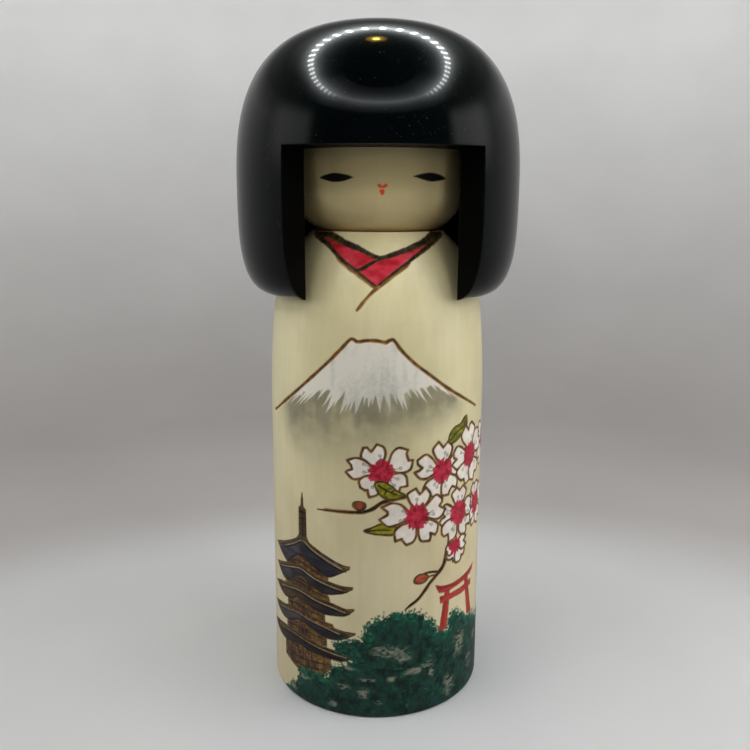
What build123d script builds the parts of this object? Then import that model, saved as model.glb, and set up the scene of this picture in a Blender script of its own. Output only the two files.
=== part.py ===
from build123d import *
from math import acos, cos, degrees, radians, sin, sqrt
import os

# A kokeshi doll: a turned wooden body, a face block with a rounded chin standing inside a
# bored-out hair cap, and a dowel in the neck on which the head turns.
# Millimetres. +Z is up, the face looks towards -Y, and the origin is the middle of the flat base.

# Overall sizes
overall_height = 280.0
body_height = 199.6  # the flat on which the head sits
cap_radius = 58.0  # widest part of the hair

# Body
base_radius = 46.25
base_round = 1.2  # rounding of the base's edge
waist_radius = 45.75
waist_height = 128.0  # the side is straight up to here
shoulder_radius = 44.0
shoulder_height = 166.0
body_top_radius = 27.4

# Face block
swivel_gap = 0.2  # between the body's flat and the chin
face_radius = 36.0
chin_round = 20.0
chin_flat_radius = 24.8
tenon_radius = 15.0
tenon_length = 14.0

# Hair cap. Its outline is two quarter superellipses that meet at its widest part.
bore_radius = 45.6
ceiling_height = 231.0  # top of the bore, and the underside of the bangs
widest_height = 215.0
crown_power = 2.78
hem_power = 3.2
hem_centre_radius = 40.0
hem_drop = 41.4  # from the widest part to where the hem's outline would be level
outline_steps = 8
window_half_angle = 39.5  # degrees to each side of the front

# Neck dowel and the clearances of the hidden joints
dowel_radius = 6.0
dowel_chamfer = 0.8
dowel_depth_in_body = 30.0
dowel_height_in_head = 21.0
head_bore_depth = 24.0
running_clearance = 0.05
glue_clearance = 0.03
tenon_relief = 0.8  # room for glue above the tenon

chin_height = body_height + swivel_gap


def quarter_outline(centre_radius, reach, rise, power, last_angle):
    """Points of a superellipse about (centre_radius, widest_height), from its widest point
    at 0 degrees to last_angle, and its direction there. 90 degrees is straight above or
    below the centre."""
    points = []
    for step in range(outline_steps + 1):
        angle = radians(last_angle * step / outline_steps)
        across = max(cos(angle), 0) ** (2 / power)
        along = sin(angle) ** (2 / power)
        points.append((centre_radius + reach * across, widest_height + rise * along))
    last_direction = (-reach * along ** (power - 1), rise * across ** (power - 1))
    return points, last_direction


os.makedirs("parts", exist_ok=True)

# Body: one turned blank with a rounded shoulder, and a blind hole for the dowel
with BuildPart() as body:
    with BuildSketch(Plane.XZ):
        with BuildLine():
            base = Line((0, 0), (base_radius, 0))
            side = Line(base @ 1, (waist_radius, waist_height))
            breast = TangentArc(
                side @ 1, (shoulder_radius, shoulder_height), tangent=side % 1
            )
            shoulder = TangentArc(
                breast @ 1, (body_top_radius, body_height), tangent=breast % 1
            )
            Polyline(shoulder @ 1, (0, body_height), base @ 0)
        make_face()
    revolve(axis=Axis.Z)
    fillet(body.edges().group_by(Axis.Z)[0], radius=base_round)
    with Locations((0, 0, body_height)):
        Hole(dowel_radius + glue_clearance, depth=dowel_depth_in_body)
body.part.label = "body"
export_step(body.part, "parts/body.step")

# Neck dowel: stands on the bottom of the body's hole and reaches into the face block
with BuildPart() as neck_dowel:
    with BuildSketch(Plane.XY.offset(body_height - dowel_depth_in_body)):
        Circle(dowel_radius)
    extrude(amount=dowel_depth_in_body + dowel_height_in_head)
    chamfer(neck_dowel.edges().filter_by(GeomType.CIRCLE), length=dowel_chamfer)
neck_dowel.part.label = "neck_dowel"
export_step(neck_dowel.part, "parts/neck_dowel.step")

# Face block: a short cylinder with a rounded chin, and a tenon that is glued into the cap
chin_centre_radius = face_radius - chin_round
chin_rise = sqrt(chin_round**2 - (chin_flat_radius - chin_centre_radius) ** 2)
with BuildPart() as face_block:
    with BuildSketch(Plane.XZ):
        with BuildLine():
            flat = Line((0, chin_height), (chin_flat_radius, chin_height))
            cheek = Line(
                (face_radius, ceiling_height), (face_radius, chin_height + chin_rise)
            )
            TangentArc(cheek @ 1, flat @ 1, tangent=cheek % 1)
            Polyline(
                cheek @ 0,
                (tenon_radius, ceiling_height),
                (tenon_radius, ceiling_height + tenon_length),
                (0, ceiling_height + tenon_length),
                flat @ 0,
            )
        make_face()
    revolve(axis=Axis.Z)
    with BuildSketch(Plane.XY.offset(chin_height)):
        Circle(dowel_radius + running_clearance)
    extrude(amount=head_bore_depth, mode=Mode.SUBTRACT)
face_block.part.label = "face_block"
export_step(face_block.part, "parts/face_block.step")

# Hair cap: a turned dome, bored from below, with a socket for the tenon in its ceiling
crown_points, crown_end = quarter_outline(
    0, cap_radius, overall_height - widest_height, crown_power, 90
)
hem_reach = cap_radius - hem_centre_radius
hem_share = (bore_radius - hem_centre_radius) / hem_reach
hem_angle = degrees(acos(hem_share ** (hem_power / 2)))
hem_points, hem_end = quarter_outline(
    hem_centre_radius, hem_reach, -hem_drop, hem_power, hem_angle
)
socket_radius = tenon_radius + glue_clearance
socket_height = ceiling_height + tenon_length + tenon_relief
with BuildPart() as hair_cap:
    with BuildSketch(Plane.XZ):
        with BuildLine():
            crown = Spline(crown_points, tangents=[(0, 1), crown_end])
            hem = Spline(hem_points, tangents=[(0, -1), hem_end])
            Polyline(
                hem @ 1,
                (bore_radius, ceiling_height),
                (socket_radius, ceiling_height),
                (socket_radius, socket_height),
                (0, socket_height),
                crown @ 1,
            )
        make_face()
    revolve(axis=Axis.Z)
    # The window for the face: a wedge about the doll's own axis, up to the ceiling
    window_reach = 1.5 * cap_radius
    window_side = window_reach * sin(radians(window_half_angle))
    window_front = -window_reach * cos(radians(window_half_angle))
    with BuildSketch(Plane.XY.offset(ceiling_height)):
        with BuildLine():
            Polyline(
                (0, 0),
                (-window_side, window_front),
                (window_side, window_front),
                close=True,
            )
        make_face()
    extrude(amount=-overall_height / 2, mode=Mode.SUBTRACT)
hair_cap.part.label = "hair_cap"
export_step(hair_cap.part, "parts/hair_cap.step")
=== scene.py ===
import math
from functools import reduce

import bmesh
import bpy
import numpy as np
from mathutils import Matrix, Vector


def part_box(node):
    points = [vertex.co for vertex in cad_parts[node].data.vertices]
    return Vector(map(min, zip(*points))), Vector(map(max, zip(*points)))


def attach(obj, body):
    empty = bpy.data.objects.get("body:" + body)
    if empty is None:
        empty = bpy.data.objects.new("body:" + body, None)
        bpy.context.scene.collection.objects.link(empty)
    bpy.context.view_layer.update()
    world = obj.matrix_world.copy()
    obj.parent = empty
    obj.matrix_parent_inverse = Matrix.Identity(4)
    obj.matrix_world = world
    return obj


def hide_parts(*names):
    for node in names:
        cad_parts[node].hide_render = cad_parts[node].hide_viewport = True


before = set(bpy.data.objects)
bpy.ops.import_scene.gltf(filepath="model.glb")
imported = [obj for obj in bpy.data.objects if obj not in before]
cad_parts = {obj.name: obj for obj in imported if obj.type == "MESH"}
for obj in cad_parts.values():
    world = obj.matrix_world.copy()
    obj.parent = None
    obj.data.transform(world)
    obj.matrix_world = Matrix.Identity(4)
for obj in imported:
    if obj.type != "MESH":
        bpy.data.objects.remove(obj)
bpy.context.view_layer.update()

# A kokeshi doll. Sizes here are in millimetres, and meshes are made in metres. A place on a
# turned surface is (across, height): across is the distance round the surface from the middle
# of its front, positive to the right of someone who faces the doll.

MM = 0.001
BODY_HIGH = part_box("body")[1]
FACE_LOW, FACE_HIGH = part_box("face_block")
HAIR_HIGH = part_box("hair_cap")[1]
DOWEL_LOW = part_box("neck_dowel")[0]

# Sizes of the CAD pieces
BASE_RADIUS = BODY_HIGH.x / MM
BASE_ROUND = 1.2
WAIST = (45.75, 128.0)
SHOULDER = (44.0, 166.0)
BODY_TOP = (27.4, BODY_HIGH.z / MM)
HOLE_RADIUS, HOLE_FLOOR = 6.03, DOWEL_LOW.z / MM
CHIN = FACE_LOW.z / MM
FACE_RADIUS = FACE_HIGH.x / MM
CHIN_ROUND, CHIN_FLAT_RADIUS = 20.0, 24.8
CEILING = 231.0
TENON_RADIUS, TENON_TOP = 15.0, FACE_HIGH.z / MM
FACE_BORE_RADIUS, FACE_BORE_TOP = 6.05, CHIN + 24.0
CAP_RADIUS, CAP_TOP = HAIR_HIGH.x / MM, HAIR_HIGH.z / MM
CAP_BORE_RADIUS = 45.6
WIDEST_HEIGHT = 215.0
CROWN_POWER, HEM_POWER = 2.78, 3.2
HEM_CENTRE_RADIUS, HEM_DROP = 40.0, 41.4
SOCKET_RADIUS, SOCKET_TOP = 15.03, CEILING + 14.8
WINDOW_HALF_ANGLE = 39.5  # degrees
HAIR_EDGE_ROUND = 0.7  # rounding of the hair's edges by the lacquer

ART_RADIUS = 46.0  # on the body, across is measured at this radius
ART_TURN = -3.0  # degrees: the head has been turned a little from the front of the painting
PAINTED = (-66, 118)  # the painted part of the body, across
FACE_PAINTED = 42  # the painted part of the face reaches this far to each side
CELL = 0.3  # spacing of the points that hold paint and carving


# ---------------------------------------------------------------- curves and noise


def srgb(red, green, blue):
    """A colour given as it looks on a screen, 0 to 255, as linear light."""
    c = np.array([red, green, blue]) / 255
    return np.where(c <= 0.04045, c / 12.92, ((c + 0.055) / 1.055) ** 2.4)


def tones(*values):
    """Two colours, from six values."""
    return srgb(*values[:3]), srgb(*values[3:])


def pair(value):
    """A pair as it is, or one value twice."""
    return value if hasattr(value, "__len__") else (value, value)


def smoothstep(low, high, value):
    t = np.clip((value - low) / (high - low), 0, 1)
    return t * t * (3 - 2 * t)


def curve(points, closed=False, steps=8):
    """A smooth line through the points (a Catmull-Rom spline)."""
    p = np.array(points, float)
    if closed:
        p = np.vstack([p[-1], p, p[:2]])
    else:
        p = np.vstack([2 * p[0] - p[1], p, 2 * p[-1] - p[-2]])
    t = np.linspace(0, 1, steps, endpoint=False)[:, None]
    parts = []
    for a, b, c, d in zip(p, p[1:], p[2:], p[3:]):
        bend = (2 * a - 5 * b + 4 * c - d) * t**2 + (3 * b - a - 3 * c + d) * t**3
        parts.append(b + 0.5 * ((c - a) * t + bend))
    line = np.vstack(parts)
    return line if closed else np.vstack([line, p[-2]])


def tangent_arc(start, direction, end, steps=40):
    """Points of the arc that leaves start in a direction and passes through end, and the
    direction in which it arrives."""
    start, end = np.array(start, float), np.array(end, float)
    ahead = np.array(direction, float) / np.hypot(*direction)
    chord = end - start
    turn = math.atan2(ahead[0] * chord[1] - ahead[1] * chord[0], float(ahead @ chord))
    radius = np.hypot(*chord) / (2 * math.sin(turn))
    centre = start + radius * np.array([-ahead[1], ahead[0]])
    angles = np.linspace(0, 2 * turn, steps)
    arm = start - centre
    x = centre[0] + arm[0] * np.cos(angles) - arm[1] * np.sin(angles)
    y = centre[1] + arm[0] * np.sin(angles) + arm[1] * np.cos(angles)
    cos, sin = math.cos(2 * turn), math.sin(2 * turn)
    arrival = (ahead[0] * cos - ahead[1] * sin, ahead[0] * sin + ahead[1] * cos)
    return np.stack([x, y], axis=1), arrival


def respaced(line, spacing):
    """The same line with its points evenly spaced."""
    line = np.asarray(line, float)
    run = np.concatenate([[0], np.cumsum(np.hypot(*np.diff(line, axis=0).T))])
    at = np.linspace(0, run[-1], max(2, round(run[-1] / spacing) + 1))
    return np.stack([np.interp(at, run, line[:, k]) for k in (0, 1)], axis=1)


def closed(outline):
    """The outline with its first point again at its end."""
    return np.vstack([outline, outline[:1]])


NOISE_TABLE = (97, 89)  # random values across and up, before they repeat
NOISE_START = (400.3, 400.7)


def noise(x, y, size, seed):
    """Smooth random values from -1 to 1 that change over about size, or (across, up)."""
    across, up = pair(size)
    wide, tall = NOISE_TABLE
    table = np.random.default_rng(seed).uniform(-1, 1, NOISE_TABLE)
    u, v = np.asarray(x) / across + NOISE_START[0], np.asarray(y) / up + NOISE_START[1]
    i, j = np.floor(u).astype(int), np.floor(v).astype(int)
    fu, fv = u - i, v - j
    fu, fv = fu * fu * (3 - 2 * fu), fv * fv * (3 - 2 * fv)
    i0, i1, j0, j1 = i % wide, (i + 1) % wide, j % tall, (j + 1) % tall
    low = table[i0, j0] * (1 - fu) + table[i1, j0] * fu
    high = table[i0, j1] * (1 - fu) + table[i1, j1] * fu
    return low * (1 - fv) + high * fv


def fractal(x, y, size, seed):
    """Noise with detail of half and a quarter of the size added."""
    across, up = pair(size)
    total = 0
    for k in range(3):
        total = total + noise(x, y, (across / 2**k, up / 2**k), seed + k) / 2**k
    return total / 1.4  # which brings most of it back to -1 to 1


# ---------------------------------------------------------------- painting and carving

EDGE = 0.2  # half the width over which one paint gives way to another


class Canvas:
    """What is painted on a turned surface and carved into it, at the points of a grid."""

    def __init__(self, across, height):
        self.across, self.height = across, height
        size = (len(height), len(across))
        self.tint = np.zeros(size + (3,))  # colour times cover
        self.cover = np.zeros(size)
        self.depth = np.zeros(size)

    def near(self, points, reach):
        """The part of the grid within reach of the points, and its places."""
        low, high = np.min(points, axis=0) - reach, np.max(points, axis=0) + reach
        columns = slice(*np.searchsorted(self.across, [low[0], high[0]]))
        rows = slice(*np.searchsorted(self.height, [low[1], high[1]]))
        x, y = np.meshgrid(self.across[columns], self.height[rows])
        return (rows, columns), x, y

    def paint(self, at, colour, amount):
        amount = np.clip(amount, 0, 1)
        self.tint[at] += (colour - self.tint[at]) * amount[..., None]
        self.cover[at] += (1 - self.cover[at]) * amount

    def carve(self, at, depth, amount):
        """Cuts down to a depth, and leaves what is already deeper."""
        self.depth[at] = np.maximum(self.depth[at], depth * np.clip(amount, 0, 1))

    def fill_in(self, at, amount):
        """Undoes carving, where one shape is in front of another."""
        self.depth[at] *= 1 - np.clip(amount, 0, 1)


def distance_to(x, y, line):
    """How far each point is from the line, and how far along the line that is, 0 to 1."""
    best, along = np.full(x.shape, 1e9), np.zeros(x.shape)
    run = np.concatenate([[0], np.cumsum(np.hypot(*np.diff(line, axis=0).T))])
    for k, (a, b) in enumerate(zip(line, line[1:])):
        step = b - a
        length = max(float(step @ step), 1e-9)
        t = np.clip(((x - a[0]) * step[0] + (y - a[1]) * step[1]) / length, 0, 1)
        d = np.hypot(x - a[0] - t * step[0], y - a[1] - t * step[1])
        along = np.where(d < best, run[k] + t * (run[k + 1] - run[k]), along)
        best = np.minimum(best, d)
    return best, along / run[-1]


def inside(x, y, outline):
    """Distance to a closed outline, positive inside it."""
    ring = closed(outline)
    d, _ = distance_to(x, y, ring)
    within = np.zeros(x.shape, bool)
    for a, b in zip(ring, ring[1:]):
        if a[1] != b[1]:
            crosses = (a[1] > y) != (b[1] > y)
            within ^= crosses & (x < (b[0] - a[0]) * (y - a[1]) / (b[1] - a[1]) + a[0])
    return np.where(within, d, -d)


def blend(pigment, t):
    """A colour between the two of a pigment, for each value of t from 0 to 1."""
    return pigment[0] + (pigment[1] - pigment[0]) * np.clip(t, 0, 1)[..., None]


def groove(c, line, width, depth, pigment=None, ends=(0.6, 0.6), seed=5, fresh=False):
    """A gouged line, stained inside. width may be (at its start, at its end), and ends are
    how much of that is left at its very tips."""
    pigment = pigment or (STAIN_DARK, STAIN_GOLD)
    line = np.asarray(line, float)
    start, end = pair(width)
    at, x, y = c.near(line, max(start, end) + 1)
    d, along = distance_to(x, y, line)
    half = (start + (end - start) * along) / 2 * (1 + 0.16 * noise(x, y, 2.4, seed))
    half *= ends[0] + (1 - ends[0]) * smoothstep(0, 0.12, along)
    half *= ends[1] + (1 - ends[1]) * smoothstep(0, 0.12, 1 - along)
    if fresh:
        c.fill_in(at, smoothstep(0.5, 0, d - half))
    c.carve(at, depth, np.cos(np.clip(d / (half * 1.25), 0, 1) * np.pi / 2) ** 2)
    # The stain is darker along the middle of the groove, as painted shade at its bottom, and paler towards
    # its edges
    tone = 0.42 + 0.75 * fractal(x, y, 1.6, seed + 9) + 0.5 * (d / half - 0.5)
    c.paint(at, blend(pigment, tone), smoothstep(EDGE, -EDGE, d - half))


def area(c, outline, pigment, ragged=0.0, size=1.2, streak=2.0, seed=3, edge=EDGE):
    """Paint inside an outline, in two tones that mix in brush streaks. ragged is how far its
    edge strays."""
    outline = np.asarray(outline, float)
    at, x, y = c.near(outline, 1 + ragged)
    d = inside(x, y, outline) + ragged * fractal(x, y, size, seed)
    tone = 0.5 + 0.9 * fractal(x, y, streak, seed + 20)
    c.paint(at, blend(pigment, tone), smoothstep(-edge, edge, d))
    return at, x, y, d


# ---------------------------------------------------------------- the painted scene

STAIN_GOLD = srgb(150, 108, 50)
STAIN_DARK = srgb(84, 56, 26)
BLACK = srgb(20, 14, 13)
WHITE = srgb(240, 234, 224)
SNOW = srgb(224, 220, 209)
SNOW_SHADE = srgb(194, 195, 188)
ASH = srgb(128, 122, 104)


FAN_HEIGHT = 163  # the tongues of snow point at a place this high


def mountain(c):
    slope = curve(
        [
            (-54.5, 125.8), (-50, 128), (-40, 134.3), (-30, 141.8), (-20, 150.5), (-15, 155.5),
            (-11, 159.6), (-9.4, 160.2), (-7.4, 159.3), (-4.5, 159.8), (-1, 159.9), (1, 159.7),
            (3.5, 159.2), (5.3, 160), (7, 159.8), (10, 155.8), (15, 151), (20, 147.2),
            (30, 140), (40, 134.3), (51, 128.8),
        ]
    )
    # Dusk below the snow: a thin wash in long strokes, which fades out downwards
    at, x, y = c.near(slope, 22)
    top = np.interp(x, slope[:, 0], slope[:, 1])
    bottom = np.interp(x, [-50, -38, -30, -20, -8, 5, 20, 38, 46],
        [119, 107, 100, 102, 104, 109, 117, 123, 129])
    strokes = fractal(x, y, (3.2, 16), 50)
    wash = smoothstep(0, 1, (y - bottom - 2.5 * strokes) / (138 - bottom))
    wash *= smoothstep(0.6, 2.5, top - y) * smoothstep(-52, -36, x) * smoothstep(45, 33, x)
    wash *= 0.8 + 0.3 * strokes + 0.2 * fractal(x, y, (7, 4), 54)
    curl = curve([(-37, 131), (-39, 126), (-37, 120), (-33, 115), (-30, 112)])
    d, along = distance_to(x, y, curl)
    d = d + 1.5 * strokes
    smoke = 0.12 * smoothstep(3.6, 0.4, d) + 0.2 * smoothstep(11, 1, d)
    wash = (wash + smoke * smoothstep(1.1, 0.2, along)) * (y < top)
    c.paint(at, blend((ASH, srgb(98, 96, 82)), 0.5 + fractal(x, y, (5, 5), 57)),
        np.clip(0.98 * wash, 0, 0.76))
    # Snow: runs down from the peak in sharp tongues that fan out
    rng = np.random.default_rng(12)
    field = np.interp(
        x, [-44, -36, -26, -14, 0, 12, 22, 30, 37],
        [132.6, 135.4, 139.0, 139.6, 138.0, 140.2, 141.6, 141.4, 137.5],
    )
    snow = smoothstep(-0.5, 0.7, y - field + 1.1 * fractal(x, y, (1.6, 4), 60))
    place = -41.5
    while place < 33:
        low = np.interp(place, [-42, -30, -15, 0, 12, 20, 33],
            [131.2, 131.8, 130.4, 130.6, 132.6, 135, 136.2])
        low += rng.choice([0, 0, 1.2, 2.6, 4.2]) + rng.uniform(-0.4, 0.6)
        lean = 0.92 * place / (FAN_HEIGHT - low)
        rise = y - low
        middle = place - lean * rise + 0.18 * noise(x, y, 2.5, 62)
        half = rng.uniform(0.12, 0.2) * np.clip(rise, 0, 9)
        tongue = smoothstep(0.16, -0.16, np.abs(x - middle) - half) * (rise > 0)
        snow = np.maximum(snow, tongue * smoothstep(152, 144, y))
        place += rng.uniform(1.3, 3.1)
    snow *= smoothstep(0.2, 0.9, top - y)
    shade = 0.55 * fractal(x, y, (2.4, 12), 66) + 0.25 * noise(x, y, 0.8, 67)
    shade += 0.75 * smoothstep(156, 138, y) * smoothstep(24, 4, np.abs(x + 1))
    c.paint(at, blend((SNOW, SNOW_SHADE), shade), snow)
    groove(c, slope, 1.5, 0.4, tones(92, 64, 26, 160, 112, 44), (0.8, 0.75), 70)


COLLAR_RED = tones(158, 8, 26, 200, 52, 70)


def collar(c):
    left_top = curve(
        [(-51, 199.5), (-40, 198.9), (-30, 197.8), (-20, 195.9), (-10, 193.7), (-3, 191.4), (1.4, 190.2)])
    right_top = curve(
        [(52, 199.5), (40, 198.2), (30, 196.1), (20, 194.0), (10, 192), (5, 190.8), (1.4, 190.2)])
    left_low = curve(
        [(-49, 198.4), (-38, 196.2), (-30, 194.3), (-25, 192.4), (-20, 190), (-10, 185.2), (-5, 182.3),
            (0, 179.3)])
    right_low = curve(
        [(50, 198.3), (38, 195.7), (30, 193.6), (20, 190.2), (15, 188), (10, 185.6), (5, 182.7),
            (0, 179.3)])
    across = curve([(1.4, 190.2), (-1, 189.1), (-5, 187.2), (-9, 185.6)])
    red_left = np.vstack([left_top[14:], [(-1, 188.6), (-9.6, 184.6)], left_low[::-1][20:-8]])
    red_right = np.vstack([right_top[10:], across, left_low[-17:], right_low[::-1][:-10]])
    for red, seed in ((red_left, 80), (red_right, 83)):
        area(c, red, COLLAR_RED, streak=(5, 2), seed=seed)
    dark = (BLACK, srgb(92, 76, 42))
    tan = tones(112, 78, 34, 168, 126, 66)
    # Painted highlight: a tan line along the lower side of each lower V, where the side of its groove
    # catches the light
    for k, low in enumerate((left_low, right_low)):
        groove(c, low[30:] - (0, 0.15), 1.7, 0.35, tan, (0.4, 0.9), 90 + k)
    for k, low in enumerate((left_low + (0.2, 0.45), right_low + (-0.2, 0.45))):
        groove(c, low, (2.2, 0.8), 0.42, dark, (1, 1), 92 + k)
    for k, top in enumerate((left_top, right_top)):
        groove(c, top, (3.2, 1.7), 0.45, dark, (1, 1), 94 + k)
    groove(c, across, (1.4, 1.6), 0.4, dark, (1, 1), 96)
    groove(c, curve([(0.6, 179.8), (-1.5, 178.2), (-5, 174.8), (-8, 171.2)]), 1.55, 0.4, tan, (1, 0.7), 97)


PETAL_SHADE = srgb(226, 216, 206)
PINK = tones(146, 0, 30, 216, 18, 72)
LEAF = tones(96, 102, 6, 160, 154, 22)
BARK = tones(74, 46, 22, 132, 92, 44)


def petal_outline(centre, angle, length, half_width, seed):
    """A petal that points at an angle in degrees and ends in two tips with a nick between."""
    rng = np.random.default_rng(seed)
    way, side = rng.uniform(-0.07, 0.07, 8), rng.uniform(-0.1, 0.1, 8)
    one = curve(
        [(0.2, 0.2), (0.36, 0.55), (0.56, 0.9 + side[0]), (0.78, 1 + side[1]),
            (1 + way[0] * 0.6, 0.52 + side[2])])
    nick = [(0.93 + way[1], 0.3 + side[3]), (0.83 + way[2], 0.08 + side[4]),
        (0.9 + way[3], -0.16 + side[5])]
    other = curve(
        [(0.99 + way[4] * 0.6, -0.5 + side[6]), (0.79, -0.98 + side[7]), (0.56, -0.9), (0.36, -0.55),
            (0.2, -0.2)])
    p = np.vstack([one, nick, other]) * (length, half_width)
    cos, sin = math.cos(math.radians(angle)), math.sin(math.radians(angle))
    x = centre[0] + p[:, 0] * cos - p[:, 1] * sin
    y = centre[1] + p[:, 0] * sin + p[:, 1] * cos
    return np.stack([x, y], axis=1)


def blossom(c, centre, petals, seed, heart=5.1, half_width=5.0):
    """petals lists (angle, length) or (angle, length, half width)."""
    for k, (angle, length, *wide) in enumerate(petals):
        outline = petal_outline(centre, angle, length, wide[0] if wide else half_width, seed + k)
        at, x, y, d = area(c, outline, (WHITE, PETAL_SHADE), streak=(3, 3), seed=seed + k)
        c.fill_in(at, smoothstep(-0.6, 0.3, d))
        groove(c, closed(outline), 1.15, 0.38, seed=seed + 3 * k, ends=(1, 1))
    # The petals meet in the middle, and the heart is dabbed over them
    centre = np.array(centre, float)
    at, x, y = c.near([centre], heart + 3)
    r, turn = np.hypot(x - centre[0], y - centre[1]), np.arctan2(y - centre[1], x - centre[0])
    spokes = noise(turn * 7, r * 0.4, (1, 1), seed + 40)
    edge = heart + 0.9 * spokes + 0.4 * fractal(x, y, 0.9, seed + 41)
    c.fill_in(at, smoothstep(0.3, -0.6, r - edge))
    strands = noise(turn * 6, r, (1, 3), seed + 43)
    tone = 0.45 + 0.5 * fractal(x, y, (1.3, 1.3), seed + 42) + 0.45 * strands
    c.paint(at, blend(PINK, tone), smoothstep(0.25, -0.25, r - edge) * 0.97)
    cuts = smoothstep(0.28, 0.6, noise(turn * 8, r * 0.9, (1, 2), seed + 44)) * smoothstep(1.2, 2.4, r)
    c.paint(at, srgb(84, 0, 22), 0.6 * cuts * smoothstep(0.1, -0.5, r - edge))
    # Stamens: short fine lines that end in a small ring, on some of the petals
    rng = np.random.default_rng(seed + 50)
    grey = tones(96, 98, 88, 150, 152, 140)
    for angle, length, *_ in petals:
        for offset in rng.choice([-17, -6, 8, 18], 2, replace=False):
            a = math.radians(angle + offset)
            way = np.array([math.cos(a), math.sin(a)])
            reach = heart + rng.uniform(0.9, 2.2)
            if centre[0] + reach * way[0] < 62 and length > 9 and rng.uniform() < 0.7:
                groove(c, [centre + way * (heart - 0.3), centre + way * reach], 0.32, 0.03, grey,
                    (1, 0.4), seed)
                turns = np.linspace(0, 2 * np.pi, 9)
                ring = centre + way * (reach + 0.5) + 0.5 * np.stack([np.cos(turns), np.sin(turns)], axis=1)
                groove(c, ring, 0.36, 0.04, grey, (1, 1), seed)


def leaf(c, outline, veins, seed):
    outline = curve(outline, closed=True)
    at, x, y, d = area(c, outline, LEAF, streak=(2.5, 1.2), seed=seed)
    c.fill_in(at, smoothstep(-0.6, 0.2, d))
    dark = smoothstep(0.15, 0.6, fractal(x, y, (2.2, 1.1), seed + 4)) * smoothstep(0, 0.6, d)
    c.paint(at, srgb(48, 56, 12), 0.7 * dark)
    for vein in veins:
        groove(c, curve(vein), (0.9, 0.5), 0.25, tones(36, 34, 10, 80, 70, 20), (1, 0.3), seed)
    groove(c, closed(outline), 0.85, 0.34, tones(60, 48, 18, 112, 90, 36), (1, 1), seed)


def branch(c, points, width, seed):
    line = curve(points)
    groove(c, line, width, 0.42, BARK, (0.5, 0.8), seed, fresh=True)
    heart = (width[0] * 0.35, width[1] * 0.35)
    groove(c, line - (0, 0.12), heart, 0.2, (BLACK, BARK[0]), (0.3, 1), seed)


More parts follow.
